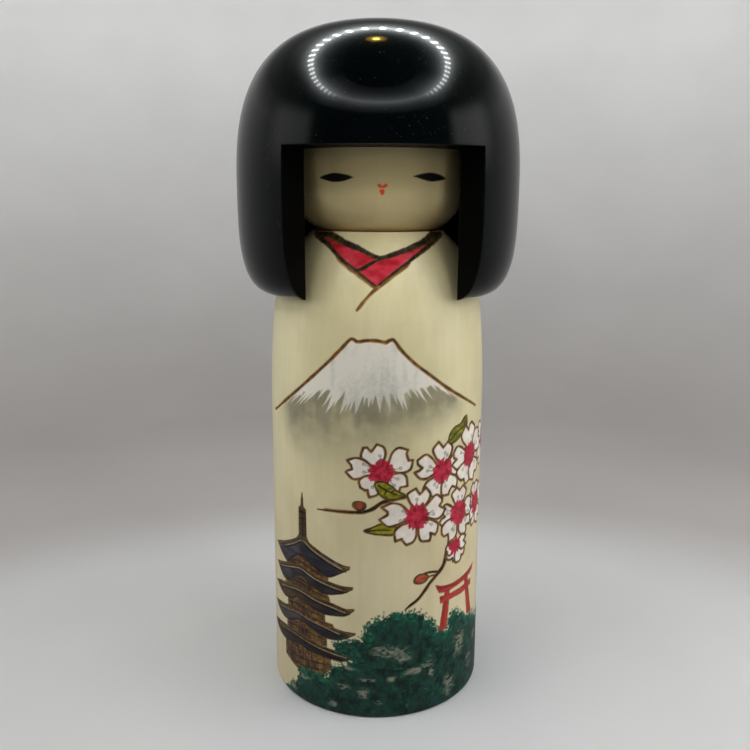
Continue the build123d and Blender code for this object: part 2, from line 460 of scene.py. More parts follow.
def blossoms(c):
    branch(c,
        [(-24.8, 90), (-18, 90.5), (-11, 90.9), (-5, 91.4), (-1, 93), (2.5, 95.4), (7, 96.7),
            (12.5, 97.4)], (1.1, 2.1), 100)
    groove(c, curve([(-22, 91.1), (-16, 91.3), (-11, 91.7)]), 0.5, 0.05, tones(190, 90, 70, 176, 120, 84),
        (0.2, 0.2), 101)
    bud = curve([(-9, 93.4), (-8.8, 95), (-6.6, 95.6), (-4.4, 95), (-4.2, 93.2), (-6.4, 92)], closed=True)
    area(c, bud, BARK, seed=104)
    area(c, curve([(-7.6, 93.8), (-6.4, 95), (-5.2, 94), (-6.3, 93.1)], closed=True),
        tones(150, 40, 40, 196, 66, 60), seed=105)
    groove(c, closed(bud), 0.8, 0.34, BARK, (1, 1), 106)
    branch(c,
        [(12.3, 48.6), (14.5, 50.3), (17.2, 52), (19.8, 54.4), (23, 58.3), (26.4, 61.2), (29.5, 64),
            (31, 67), (32, 71), (33.5, 75)], (1.3, 2.4), 110)
    branch(c, [(27.6, 62.4), (25.4, 63), (22.6, 63.4), (19.6, 63.1)], (1.2, 0.9), 112)
    low_bud = curve(
        [(16.3, 60), (16.4, 61.8), (18.2, 63.1), (20.8, 62.9), (22.4, 61.6), (21, 59.8), (18.6, 59.3)],
        closed=True)
    area(c, low_bud, tones(160, 58, 40, 198, 84, 58), streak=(2, 1), seed=114)
    groove(c, closed(low_bud), 0.9, 0.34, BARK, (1, 1), 115)
    groove(c, curve([(21.4, 60.6), (23.2, 61.5), (25.4, 61.6)]), 0.9, 0.34, BARK, (1, 1), 116)
    # Those round the side, and behind, come first, and then those in front of them
    blossom(c, (66, 111), [(80, 12.5), (150, 12), (222, 12.5), (296, 12), (8, 12.5)], 400)
    blossom(c, (73, 87), [(96, 12), (168, 12.5), (240, 12), (312, 12.5), (24, 12)], 410)
    leaf(c, [(78, 99), (81.5, 102.5), (86, 102.8), (90, 100.4), (86, 97.8), (81, 97.4)],
        [[(79, 99), (84, 100.6), (89, 100.4)]], 420)
    branch(c, [(76, 79), (80, 73), (85.5, 68), (89, 62.5), (93.5, 58)], (1.9, 0.9), 424)
    blossom(c, (54.3, 85.4),
        [(96, 9.6, 4.4), (168, 9.5, 4.2), (232, 10, 4.4), (300, 11, 4.6), (20, 11, 4.6)], 430, 4.9)
    blossom(c, (36.6, 71.6), [(250, 6.6, 3.2), (305, 8.8, 3.8), (2, 8.2, 3.6), (200, 5.4, 2.6)], 440, 3.6)
    leaf(c,
        [(31.6, 117), (32.3, 120.6), (34.9, 122.8), (38.6, 123.7), (41.2, 125.8), (43, 126),
            (43.4, 122.4), (41.2, 120.6), (38, 118), (34.6, 116.6)],
        [[(32.4, 118), (36.5, 120.6), (41, 122.4), (42.6, 125.4)]], 450)
    blossom(c, (38.8, 85.6),
        [(88, 11.2, 4.7), (176, 11, 4.6), (228, 12.4, 5), (306, 11.6, 5), (6, 10.8, 4.2)], 460, 5.3)
    blossom(c, (28.7, 106),
        [(88, 12.2, 4.9), (163, 13, 4.8), (238, 12.4, 5), (300, 11.6, 5), (10, 9.5, 4.4)], 470, 5.0)
    blossom(c, (46.4, 108.8),
        [(96, 13.4, 5.2), (178, 12.2, 4.9), (240, 12.2, 5.4), (300, 12.4, 5.2), (32, 13.2, 5.6)],
        480, 5.2)
    blossom(c, (2.3, 108),
        [(28, 13.4, 5.1), (113, 11.6, 4.8), (172, 14, 4.4), (231, 10.8, 4.8), (318, 11.4, 4.9)], 490, 5.1)
    leaf(c,
        [(-0.2, 103.6), (2.6, 104), (6, 102.3), (8.6, 99.8), (11.6, 98.2), (9, 96.8), (5.4, 96.6),
            (2.4, 98), (0.4, 100.6)],
        [[(1, 102.6), (4.4, 100.4), (9.4, 98)], [(4.4, 100.4), (3.2, 98.6)],
            [(5.8, 99.6), (7.6, 100.4)]], 500)
    leaf(c,
        [(-4.6, 83.4), (-1.6, 84.8), (2, 86.4), (6.4, 86.6), (8.4, 84.6), (7, 81.8), (3, 81.8),
            (-1.4, 82.3)], [[(-3.6, 83.4), (1.6, 83.9), (6.6, 83.7)]], 510)
    blossom(c, (17, 88.7),
        [(84, 11.8, 4.9), (171, 15, 5), (237, 12.8, 4.8), (307, 12.6, 4.9), (14, 13.2, 5.2)], 520, 5.3)


SLATE = tones(44, 42, 50, 76, 70, 78)
SLATE_DARK = tones(20, 22, 32, 40, 40, 52)
RIM = tones(62, 46, 24, 132, 100, 46)
TIMBER = tones(62, 44, 32, 112, 82, 44)
GILT = tones(100, 72, 32, 138, 102, 44)
POST = tones(56, 38, 22, 98, 70, 38)
INK = (BLACK, srgb(44, 34, 28))
CORNER = -35.0  # the tower's near corner


def roof(c, top, bottom, pigment, seed, lines=(1.0, 2.1)):
    """One roof of the tower. top runs from its left tip to its right tip, and bottom back to
    where top starts."""
    top, bottom = curve(top), curve(bottom + top[:1])
    at, x, y, d = area(c, np.vstack([top, bottom]), pigment, streak=(6, 1.2), seed=seed)
    c.fill_in(at, smoothstep(-0.5, 0.2, d))
    right = smoothstep(CORNER - 0.6, CORNER + 2.4, x) * smoothstep(-0.2, 0.2, d)
    c.paint(at, blend(SLATE_DARK, 0.5 + fractal(x, y, (4, 1.2), seed + 7)), 0.72 * right)
    ends = smoothstep(6.5, 1.5, x - top[0, 0]) + smoothstep(6.5, 1.5, top[-1, 0] - x)
    ends *= smoothstep(-0.2, 0.2, d)
    c.paint(at, blend(RIM, 0.6 + fractal(x, y, (2, 1), seed + 8)), 0.85 * ends)
    for k, drop in enumerate(lines):
        groove(c, top[4:-4] - (0, drop), (0.5, 0.75), 0.26, INK, (0.3, 0.6), seed + k)
    groove(c, top[8:-8] - (0, 1.5), (0.3, 0.45), 0.1, tones(150, 130, 88, 190, 170, 120), (1, 1), seed + 9)
    groove(c, bottom, 0.75, 0.3, (BLACK, RIM[0]), (0.5, 0.5), seed + 5)
    groove(c, top, 0.85, 0.36, RIM, (0.5, 0.7), seed + 6)


def storey(c, outline, seed, posts=(), beams=(), panes=()):
    """A wall of the tower, with posts at places across, beams as lines, and dark panes."""
    at, x, y, d = area(c, outline, TIMBER, streak=(1.0, 4), seed=seed)
    c.fill_in(at, smoothstep(-0.4, 0.2, d))
    right = smoothstep(-30, -26, x) * smoothstep(-0.2, 0.2, d)
    c.paint(at, blend(GILT, 0.5 + fractal(x, y, (1.4, 3), seed + 2)), 0.6 * right)
    mottle = fractal(x, y, (1.4, 0.7), seed + 4)
    within = smoothstep(-0.2, 0.2, d)
    c.paint(at, srgb(156, 116, 58), 0.5 * smoothstep(0.15, 0.6, mottle) * within)
    c.paint(at, srgb(40, 24, 16), 0.62 * smoothstep(0.1, 0.55, -mottle) * within)
    rows = np.array(outline)
    rng = np.random.default_rng(seed)
    for k, place in enumerate(posts):
        low, high = rows[:, 1].min() + rng.uniform(0.8, 2.5), rows[:, 1].max() - rng.uniform(1.2, 3)
        foot = place + rng.uniform(-0.5, 0.5)
        groove(c, [(foot, low), (place, high)], rng.uniform(0.3, 0.6), 0.12, POST, (0.4, 0.4), seed + k)
    for k, (left, right_end, low, high) in enumerate(panes):
        pane = [(left, low), (right_end, low), (right_end, high), (left, high)]
        area(c, pane, tones(44, 22, 22, 92, 52, 46), streak=(0.8, 2), seed=seed + 30 + k)
    for k, beam in enumerate(beams):
        groove(c, curve(beam), 0.5, 0.2, INK, (0.5, 0.5), seed + 15 + k)


def tower(c):
    storey(c, [(-46.6, 25), (-35, 27), (-18.8, 25.5), (-18.8, 20), (-23, 16), (-36, 13.6), (-46.6, 17)],
        200, (-44, -41.4, -38.6, -35.4, -32, -28.6, -25.4, -22.2),
        [[(-46, 21.6), (-36, 20.2), (-19, 22)], [(-46, 18.6), (-36, 16.8), (-22, 18.6)]],
        ((-43.2, -39.4, 17.6, 20.6), (-31.2, -29.4, 17, 20), (-27.8, -26.2, 17.4, 20.4)))
    roof(c,
        [(-62, 27), (-54, 29), (-46, 30.5), (-38, 31.2), (-28, 30.2), (-20, 29.2), (-12, 28.2),
            (-8.5, 27.6)],
        [(-8.5, 27.4), (-14, 25), (-20, 25), (-30, 25.6), (-37, 26.4), (-45, 24.2), (-52, 24.2),
            (-58, 25.4)], (RIM[0], SLATE[0]), 210, (0.9, 1.9, 3.0))
    storey(c, [(-45, 36), (-35, 38.5), (-20.6, 37), (-20.6, 30), (-35, 31), (-45, 30.6)], 220,
        (-43, -40.2, -37.6, -35.2, -32.6, -29, -24.6, -21.6), [[(-45, 33), (-36, 34), (-21, 33)]],
        ((-42.6, -40.6, 31.4, 34.8), (-34.8, -33, 31.6, 35.2), (-32, -30.4, 31.4, 35)))
    roof(c,
        [(-60, 37), (-52, 38.9), (-44, 40.6), (-37, 41.9), (-30, 41.2), (-22, 40.2), (-15, 38.6),
            (-8.2, 38.2)],
        [(-8.2, 37.8), (-14, 34.9), (-20, 34.1), (-27, 36), (-35, 38), (-41, 35.6), (-47, 34), (-54, 35)],
        SLATE, 230, (1.0, 2.0))
    storey(c, [(-44, 46), (-36, 48.5), (-21.4, 47), (-21.4, 41), (-35, 42), (-44, 41)], 240,
        (-42.4, -40, -37.2, -34.8, -32, -28.6, -25, -22.6), [[(-44, 43.4), (-36, 44.4), (-22, 43.4)]],
        ((-41.6, -39.8, 42, 44.6), (-36.8, -35.2, 42.4, 45.4), (-34, -32.6, 42.4, 45)))
    storey(c,
        [(-48, 40), (-44, 41.4), (-36, 42.8), (-18, 41), (-17, 39), (-20, 38.6), (-36, 40.8), (-46, 39)],
        245, (), [[(-47, 40.2), (-36, 41.8), (-18, 40)]])
    roof(c,
        [(-58, 47.2), (-50, 49.6), (-42, 51.6), (-35, 52.6), (-26, 51.1), (-18, 49.9), (-12.5, 48.6),
            (-8.8, 49)],
        [(-8.8, 48.4), (-12, 46), (-16, 45.2), (-22, 44.8), (-30, 46.2), (-36, 48), (-41, 45.6),
            (-47, 44.6), (-53, 46)], tones(52, 38, 30, 98, 72, 40), 250, (1.0, 2.1))
    storey(c,
        [(-46, 53), (-42, 55), (-36, 58), (-22, 56), (-19.4, 52.6), (-19, 50.4), (-26, 51.4), (-35, 52.8),
            (-46, 51)], 260, (-40, -37.4, -35, -31.6, -28, -25),
        [[(-45, 52.6), (-36, 55), (-20, 52)], [(-42, 54.4), (-36, 56.6), (-22, 54.4)]],
        ((-34, -32.6, 53.4, 55.6), (-30.6, -29, 53, 55.2)))
    roof(c,
        [(-56, 57), (-50, 58.6), (-45, 60.2), (-39, 62), (-34, 62.8), (-27, 60.8), (-20, 59.4),
            (-14, 58.4), (-9.2, 58.6)],
        [(-9.2, 57.8), (-13, 55.8), (-16, 54.9), (-21, 54), (-27, 55.6), (-33, 58), (-38, 57.2),
            (-42, 54.2), (-47, 52.9), (-52, 54.9)], SLATE, 270, (1.0, 2.2))
    storey(c,
        [(-46, 60), (-43, 62.6), (-38, 65.6), (-34.6, 67.4), (-28, 66), (-22, 63), (-19.6, 61),
            (-20.4, 59.4), (-27, 60.8), (-34, 62.6), (-40, 61.4)], 280,
        (-38, -35.6, -31.4, -28, -25, -22.6), [[(-44, 61.8), (-36, 64.4), (-28, 63), (-21, 60.8)]],
        ((-25.8, -23.8, 61.6, 63.4),))
    roof(c,
        [(-55.6, 66.3), (-46, 69.6), (-39, 72.8), (-33.3, 75.8), (-28, 73.4), (-20, 70), (-14, 67.8),
            (-10.5, 67.4)],
        [(-10.5, 66.4), (-15, 64), (-20, 61.7), (-25, 63.8), (-30, 66), (-35, 67.3), (-40, 64.6),
            (-44, 61.6), (-50, 63.8)], SLATE, 290, (1.2, 2.4))
    groove(c, curve([(-24, 70.6), (-18, 68.2), (-14, 67)]), 0.4, 0.2, tones(90, 92, 108, 130, 130, 140),
        (0.3, 0.3), 296)
    groove(c, [(-33.4, 74.6), (CORNER + 0.4, 68.4)], 0.6, 0.2, (BLACK, SLATE[1]), (0.5, 0.5), 297)
    base = [(-36.8, 74.6), (-35.4, 76.6), (-30.4, 76.6), (-29.2, 74.2), (-33.2, 76)]
    area(c, base, RIM, seed=300)
    drum = [(-35.3, 88.4), (-34.2, 89.4), (-32.2, 89.4), (-30.8, 88.2), (-30.6, 76), (-35.4, 76)]
    at, x, y, d = area(c, drum, tones(44, 30, 18, 104, 78, 38), streak=(3, 0.7), seed=302)
    c.carve(at, 0.24, smoothstep(-0.3, 0.5, d))
    rings = smoothstep(0.1, 0.7, np.sin(y * 2 * np.pi / 1.35)) * smoothstep(0, 0.5, d)
    c.paint(at, BLACK, 0.8 * rings)
    c.carve(at, 0.42, rings)
    groove(c, [(-33, 76), (-33, 89)], 0.7, 0.3, INK, (1, 1), 304)
    groove(c, [(-33.1, 89), (-33.1, 92.4)], (2.1, 1.3), 0.3, RIM, (1, 1), 305)
    groove(c, [(-33.1, 92), (-33, 95.4)], (1.4, 0.5), 0.3, RIM, (1, 0.4), 306)


LACQUER_RED = tones(158, 34, 34, 196, 62, 50)


def gate(c):
    """A shrine gate of the plainest kind: two posts, a tie beam and a curved lintel."""
    posts = (
        [(31.2, 53.4), (34.2, 53.4), (33.6, 44), (32.6, 35.2), (28.4, 35.4), (29.8, 44)],
        [(44.3, 54), (47.6, 54), (49.4, 45), (52.2, 35.4), (47.6, 35.4), (46, 45)],
    )
    beams = (
        [(28.4, 51), (34, 50.7), (42, 50.9), (51, 51.6), (50.8, 48.8), (42, 48), (34, 48), (28.8, 47.8)],
        [(25.8, 57), (30, 55.4), (36, 54.9), (44, 55.6), (50, 56.8), (53.4, 58), (52.6, 55.2), (50, 54),
            (44, 53.2), (36, 52.4), (31, 52.2), (28, 52.9)],
    )
    for k, outline in enumerate(posts + beams):
        streak = (1.2, 5) if k < len(posts) else (5, 1)
        at, x, y, d = area(c, outline, LACQUER_RED, 0.15, streak=streak, seed=330 + k)
        c.carve(at, 0.22, smoothstep(-0.5, 0.5, d))
        rim = smoothstep(0.7, 0.1, d) * smoothstep(-0.3, 0.1, d)
        c.paint(at, srgb(104, 26, 26), 0.4 * rim)
    groove(c, curve([(26.6, 56.4), (31, 54.4), (37, 53.9), (45, 54.6), (52.6, 56.8)]), 0.4, 0.28,
        (srgb(90, 22, 24), LACQUER_RED[0]), (0.4, 0.4), 340)


def foliage(c):
    top = [
        (-56, -6), (-46, 3), (-42, 6), (-38.4, 8.6), (-37, 12.6), (-35.6, 15.4), (-30, 16.2),
        (-22, 16.4), (-19, 19.6), (-18, 22.2), (-12.4, 24.2), (-9.4, 25.6), (-11.4, 27.4),
        (-15.4, 28.6), (-17.6, 31.4), (-15.8, 33.6), (-11, 34.9), (-6, 35.4), (-4.2, 38.4),
        (-4, 42), (-1.8, 44.4), (1, 45.6), (5.6, 45.8), (7.4, 47.6), (11, 47), (16, 47.3),
        (20, 45.8), (22, 43.4), (24.6, 41.4), (26.4, 38.6), (28.2, 36.4), (31, 34.8),
        (33.4, 35), (34.2, 39.6), (35.4, 42), (38.4, 41.6), (42, 39), (45.4, 36.2), (48.4, 34.4),
        (52, 34.8), (56.4, 32.6), (61, 30.2), (66, 31.8), (72, 35.6), (79, 36.4), (85, 33),
        (90, 27.8), (96, 25.4), (101, 19), (106, 14.6), (111, 8.4), (116, 3.6), (124, -6),
    ]
    outline = curve(top, steps=4)
    at, x, y = c.near(outline, 4)
    d = inside(x, y, outline)
    edge = d + 1.2 * fractal(x, y, 3.4, 130) + 0.9 * noise(x, y, 0.9, 134) + 0.4 * noise(x, y, 0.5, 135)
    body = smoothstep(-0.2, 0.3, edge - 0.3)
    strokes = 0.5 + 0.8 * fractal(x, y, (2.2, 3.0), 140) + 0.3 * noise(x, y, 0.7, 144)
    c.paint(at, blend(tones(12, 38, 34, 20, 70, 56), strokes), body)
    c.fill_in(at, body)
    # Brighter leaves along the top, and flecks of them inside
    lit = smoothstep(7.5, 0.5, d) * smoothstep(-0.1, 0.5, fractal(x, y, (1.5, 1.1), 150) + 0.15)
    lit = np.maximum(lit, 0.55 * smoothstep(0.42, 0.75, fractal(x, y, (2.0, 1.3), 154)))
    c.paint(at, blend(tones(0, 82, 62, 16, 124, 92), 0.5 + noise(x, y, 0.8, 158)), 0.8 * lit * body)
    # Bald patches, where a thin grey wash shows between the dabs
    bald = np.zeros(x.shape)
    for px, py, wide, tall in (
        (6, 30.4, 8.5, 3.4), (11.5, 27.6, 4.5, 3.2), (2, 32.2, 3.4, 1.6), (17, 20.4, 6.5, 1.8),
        (22.5, 21.6, 3.6, 2.8), (24.5, 18, 2.2, 2.6), (-13.6, 13.4, 3.6, 1.6), (-4.6, 11.4, 3.2, 3),
        (34.4, 8.6, 4.2, 6), (41, 26, 4.8, 7), (-18.2, 4.4, 2.6, 1.8), (-33, 12, 4, 1.4),
        (-40, 4.5, 3, 2), (-10.6, 22.4, 2.4, 1.2), (-3, 17.6, 5, 0.9), (7, 18, 2.6, 1.6),
        (2, 7.4, 2.4, 1), (50, 14, 3.6, 5), (58, 22, 4.5, 3), (70, 24, 5, 3.4), (84, 18, 5, 4),
        (77, 8, 4.4, 2.6), (95, 12, 3.6, 3.2),
    ):
        reach = np.hypot((x - px) / wide, (y - py) / tall)
        bald = np.maximum(bald, smoothstep(1.25, 0.25, reach))
    bald *= smoothstep(-0.05, 0.3, fractal(x, y, (1.9, 1.0), 160) + 0.45 * bald - 0.05)
    grey = blend(tones(96, 106, 92, 150, 150, 132), 0.5 + fractal(x, y, (1.5, 1), 165))
    c.paint(at, grey, 0.78 * bald * body)
    # Loose dabs beyond the edge, put on with the tip of the brush
    rng = np.random.default_rng(170)
    crest = respaced(outline[20:-20], 0.42)
    for x0, y0 in crest:
        away = rng.normal(0, 0.75)
        px, py = x0 + rng.normal(0, 0.6), y0 + away + 0.1
        size = rng.uniform(0.22, 0.62)
        tint = blend(tones(8, 62, 50, 10, 110, 84), rng.uniform(0, 1, 1))[0]
        spot, u, v = c.near([(px, py)], 1.6)
        lean = rng.uniform(0.5, 1.6)
        r = np.hypot((u - px) * lean, (v - py) / lean)
        c.paint(spot, tint, 0.9 * smoothstep(0.18, -0.18, r - size))
    # Leaves that have dried on in a lump catch the light
    lump = (0.05 + 0.05 * fractal(x, y, 1.1, 175)) * smoothstep(0, 1, edge)
    c.depth[at] -= body * lump * smoothstep(1.5, 4, y)


def painted_face(c):
    ink = tones(10, 12, 12, 26, 26, 24)
    # Painted shade: the paint is deeper in the middle of the face, so that its sides look as well lit as
    # its middle, and a painted warm shade lies low on the cheeks, beside the chin
    at, x, y = c.near([(-40, 200), (40, 231)], 2)
    middle = smoothstep(34, 8, np.abs(x))
    c.paint(at, srgb(186, 170, 128), 0.5 * middle)
    for px in (-29, 27):
        painted_cheek_shade = smoothstep(13, 2, np.hypot((x - px) / 1.1, y - 203))
        c.paint(at, srgb(176, 140, 84), 0.4 * painted_cheek_shade)
    left = [(-25.9, 220.0), (-22.6, 221.0), (-18.4, 221.6), (-14, 221.0), (-10.9, 220.1), (-14.4, 218.9),
        (-18.6, 218.4), (-22.6, 219.1)]
    right = [(11.7, 220.6), (15.4, 221.4), (19.6, 221.9), (24, 221.2), (27.8, 219.9), (24, 219.1),
        (19.4, 218.8), (15.4, 219.6)]
    for k, eye in enumerate((left, right)):
        upper, lower = curve(eye[:5]), curve(eye[4:] + eye[:1])
        area(c, np.vstack([upper, lower[1:-1]]), ink, 0.06, 1.4, seed=600 + k, edge=0.16)
        groove(c, upper, 0.42, 0, ink, (0.2, 0.2), 604 + k)
    red = tones(214, 66, 26, 238, 98, 48)
    upper_lip = [(-2.0, 217.3), (-1.1, 217.8), (0, 217.1), (1.1, 217.9), (2.2, 217.3), (1.2, 216.5),
        (0.1, 216.2), (-1.1, 216.4)]
    lower_lip = [(-0.9, 215.7), (0.5, 215.8), (0.9, 214.8), (0.3, 213.7), (-0.4, 213.7), (-1.0, 214.7)]
    area(c, curve(upper_lip, True), red, 0.08, 0.8, seed=610, edge=0.16)
    area(c, curve(lower_lip, True), red, 0.08, 0.8, seed=612, edge=0.16)
    # A brown speck on the cheek
    px, py, size = -31, 212.6, 0.35
    at, x, y = c.near([(px, py)], size + 1)
    c.paint(at, srgb(96, 70, 40), 0.8 * smoothstep(0.2, -0.2, np.hypot(x - px, y - py) - size))


# ---------------------------------------------------------------- meshes


def arc(centre, radius, start, end, steps):
    """Points of an arc about a centre, between two angles in degrees."""
    angles = np.radians(np.linspace(start, end, steps))
    return np.stack([centre[0] + radius * np.cos(angles), centre[1] + radius * np.sin(angles)], 1)


def add_object(name, data, *skins):
    """Puts data into the scene as an object with these materials."""
    for skin in skins:
        data.materials.append(skin)
    made = bpy.data.objects.new(name, data)
    bpy.context.scene.collection.objects.link(made)
    return made


def smooth_mesh(name, mesh):
    """The data of a bmesh, shaded smooth."""
    data = bpy.data.meshes.new(name)
    mesh.to_mesh(data)
    mesh.free()
    data.shade_smooth()
    return data


def circle(mesh, radius, height, angles):
    """Vertices of a bmesh round the axis, at angles from the front."""
    return [
        mesh.verts.new((radius * math.sin(a) * MM, -radius * math.cos(a) * MM, height * MM))
        for a in angles
    ]


def lathe(name, outline, angles, sharp, skins, canvas, first):
    """A closed turned solid, in metres. outline holds (radius, height) from the axis back to
    the axis, and angles are radians from the front. sharp are the places in the outline with
    an edge, and skins are (place, material) where each material starts. canvas is what is on
    the outline from first on."""
    outline = np.asarray(outline, float)
    rings, columns = outline[1:-1], len(angles)
    ahead = np.gradient(rings, axis=0)
    outward = np.stack([ahead[:, 1], -ahead[:, 0]], axis=1)
    outward /= np.hypot(*outward.T)[:, None]
    sink = np.zeros((len(rings), columns))
    art = np.zeros((len(rings), columns, 4))
    painted = slice(first - 1, first - 1 + len(canvas.height))
    sink[painted] = canvas.depth
    art[painted] = np.dstack([canvas.tint, canvas.cover])
    radius = rings[:, :1] - sink * outward[:, :1]
    height = rings[:, 1:] - sink * outward[:, 1:]
    places = np.stack([radius * np.sin(angles), -radius * np.cos(angles), height], axis=2)
    places = np.vstack([[[0, 0, outline[0, 1]]], places.reshape(-1, 3), [[0, 0, outline[-1, 1]]]])
    ring = 1 + columns * np.arange(len(rings))[:, None] + np.arange(columns)
    after = np.roll(ring, -1, axis=1)
    quads = np.stack([ring[:-1], after[:-1], after[1:], ring[1:]], axis=2).reshape(-1, 4)
    start = np.stack([np.zeros(columns, int), after[0], ring[0]], axis=1)
    end = np.stack([ring[-1], after[-1], np.full(columns, len(places) - 1)], axis=1)
    sizes = np.concatenate([np.full(columns, 3), np.full(len(quads), 4), np.full(columns, 3)])
    mesh = bpy.data.meshes.new(name)
    mesh.vertices.add(len(places))
    mesh.vertices.foreach_set("co", (places * MM).ravel())
    mesh.loops.add(int(sizes.sum()))
    mesh.loops.foreach_set("vertex_index", np.concatenate([start.ravel(), quads.ravel(), end.ravel()]))
    mesh.polygons.add(len(sizes))
    mesh.polygons.foreach_set("loop_start", np.concatenate([[0], np.cumsum(sizes)[:-1]]))
    bands = np.zeros(len(outline) - 1, int)
    for k, (place, skin) in enumerate(skins):
        bands[place:] = k
    mesh.polygons.foreach_set("material_index", np.repeat(bands, columns))
    mesh.update(calc_edges=True)
    mesh.shade_smooth()
    edges = np.zeros(len(mesh.edges) * 2, np.int64)
    mesh.edges.foreach_get("vertices", edges)
    rows = (edges.reshape(-1, 2) - 1) // columns
    is_sharp = (rows[:, 0] == rows[:, 1]) & np.isin(rows[:, 0] + 1, list(sharp))
    mesh.attributes.new("sharp_edge", "BOOLEAN", "EDGE").data.foreach_set("value", is_sharp)
    ends = np.zeros((1, 4))
    art = np.vstack([ends, art.reshape(-1, 4), ends])
    mesh.attributes.new("art", "FLOAT_COLOR", "POINT").data.foreach_set("color", art.ravel())
    carved = np.concatenate([[0], sink.ravel(), [0]])
    mesh.attributes.new("carved", "FLOAT", "POINT").data.foreach_set("value", carved)
    return add_object(name, mesh, *(skin for _, skin in skins))


def turned_body(paint, wood):
    floor = [(0, 0), (14, 0), (28, 0), (39, 0), (43, 0)]
    side = arc((BASE_RADIUS - BASE_ROUND, BASE_ROUND), BASE_ROUND, -90, 0, 7)
    breast, ahead = tangent_arc(WAIST, np.subtract(WAIST, (BASE_RADIUS, 0)), SHOULDER)
    shoulder, _ = tangent_arc(SHOULDER, ahead, BODY_TOP)
    side = respaced(np.vstack([side, breast, shoulder[1:]]), CELL)
    top = [(r, BODY_TOP[1]) for r in (22, 15, 9, HOLE_RADIUS)]
    hole = [(HOLE_RADIUS, 190), (HOLE_RADIUS, 180), (HOLE_RADIUS, HOLE_FLOOR), (0, HOLE_FLOOR)]
    outline = np.vstack([floor, side, top, hole])
    behind = (PAINTED[1], 2 * math.pi * ART_RADIUS + PAINTED[0])
    behind = np.linspace(*behind, 150, endpoint=False)
    across = np.concatenate([np.arange(*PAINTED, CELL), behind])
    canvas = Canvas(across, side[:, 1])
    for painting in (mountain, collar, blossoms, tower, foliage, gate):
        painting(canvas)
    rim = len(floor) + len(side) - 1
    sharp = (rim, rim + 4, rim + 7)  # the rim, and the mouth and the floor of the hole
    skins = [(0, wood), (len(floor) - 1, paint), (rim, wood)]
    angles = across / ART_RADIUS + math.radians(ART_TURN)
    return lathe("turned_body", outline, angles, sharp, skins, canvas, len(floor))


def turned_face(paint, wood):
    bore = [(0, FACE_BORE_TOP), (FACE_BORE_RADIUS, FACE_BORE_TOP), (FACE_BORE_RADIUS, 212)]
    chin = [(FACE_BORE_RADIUS, CHIN), (12, CHIN), (19, CHIN)]
    centre = FACE_RADIUS - CHIN_ROUND
    rise = math.sqrt(CHIN_ROUND**2 - (CHIN_FLAT_RADIUS - centre) ** 2)
    start = -math.degrees(math.asin(rise / CHIN_ROUND))
    side = arc((centre, CHIN + rise), CHIN_ROUND, start, 0, 40)
    side = respaced(np.vstack([side, [(FACE_RADIUS, CEILING)]]), CELL)
    top = [(30, CEILING), (22, CEILING), (TENON_RADIUS, CEILING)]
    tenon = [(TENON_RADIUS, 238), (TENON_RADIUS, TENON_TOP), (8, TENON_TOP), (0, TENON_TOP)]
    outline = np.vstack([bore, chin, side, top, tenon])
    behind = (FACE_PAINTED, 2 * math.pi * FACE_RADIUS - FACE_PAINTED)
    behind = np.linspace(*behind, 48, endpoint=False)
    across = np.concatenate([np.arange(-FACE_PAINTED, FACE_PAINTED, CELL), behind])
    canvas = Canvas(across, side[:, 1])
    painted_face(canvas)
    first = len(bore) + len(chin)
    rim = first + len(side) - 1
    sharp = (1, 3, first, rim, rim + 3, rim + 5)  # the bore, the chin, the top and the tenon
    skins = [(0, wood), (first, paint), (rim, wood)]
    return lathe("turned_face", outline, across / FACE_RADIUS, sharp, skins, canvas, first)


def superellipse(centre, reach, rise, power, start, end):
    """Points of a superellipse about (centre, WIDEST_HEIGHT), between two angles in degrees."""
    angles = np.radians(np.linspace(start, end, 120))
    across = centre + reach * np.clip(np.cos(angles), 0, 1) ** (2 / power)
    return np.stack([across, WIDEST_HEIGHT + rise * np.sin(angles) ** (2 / power)], axis=1)


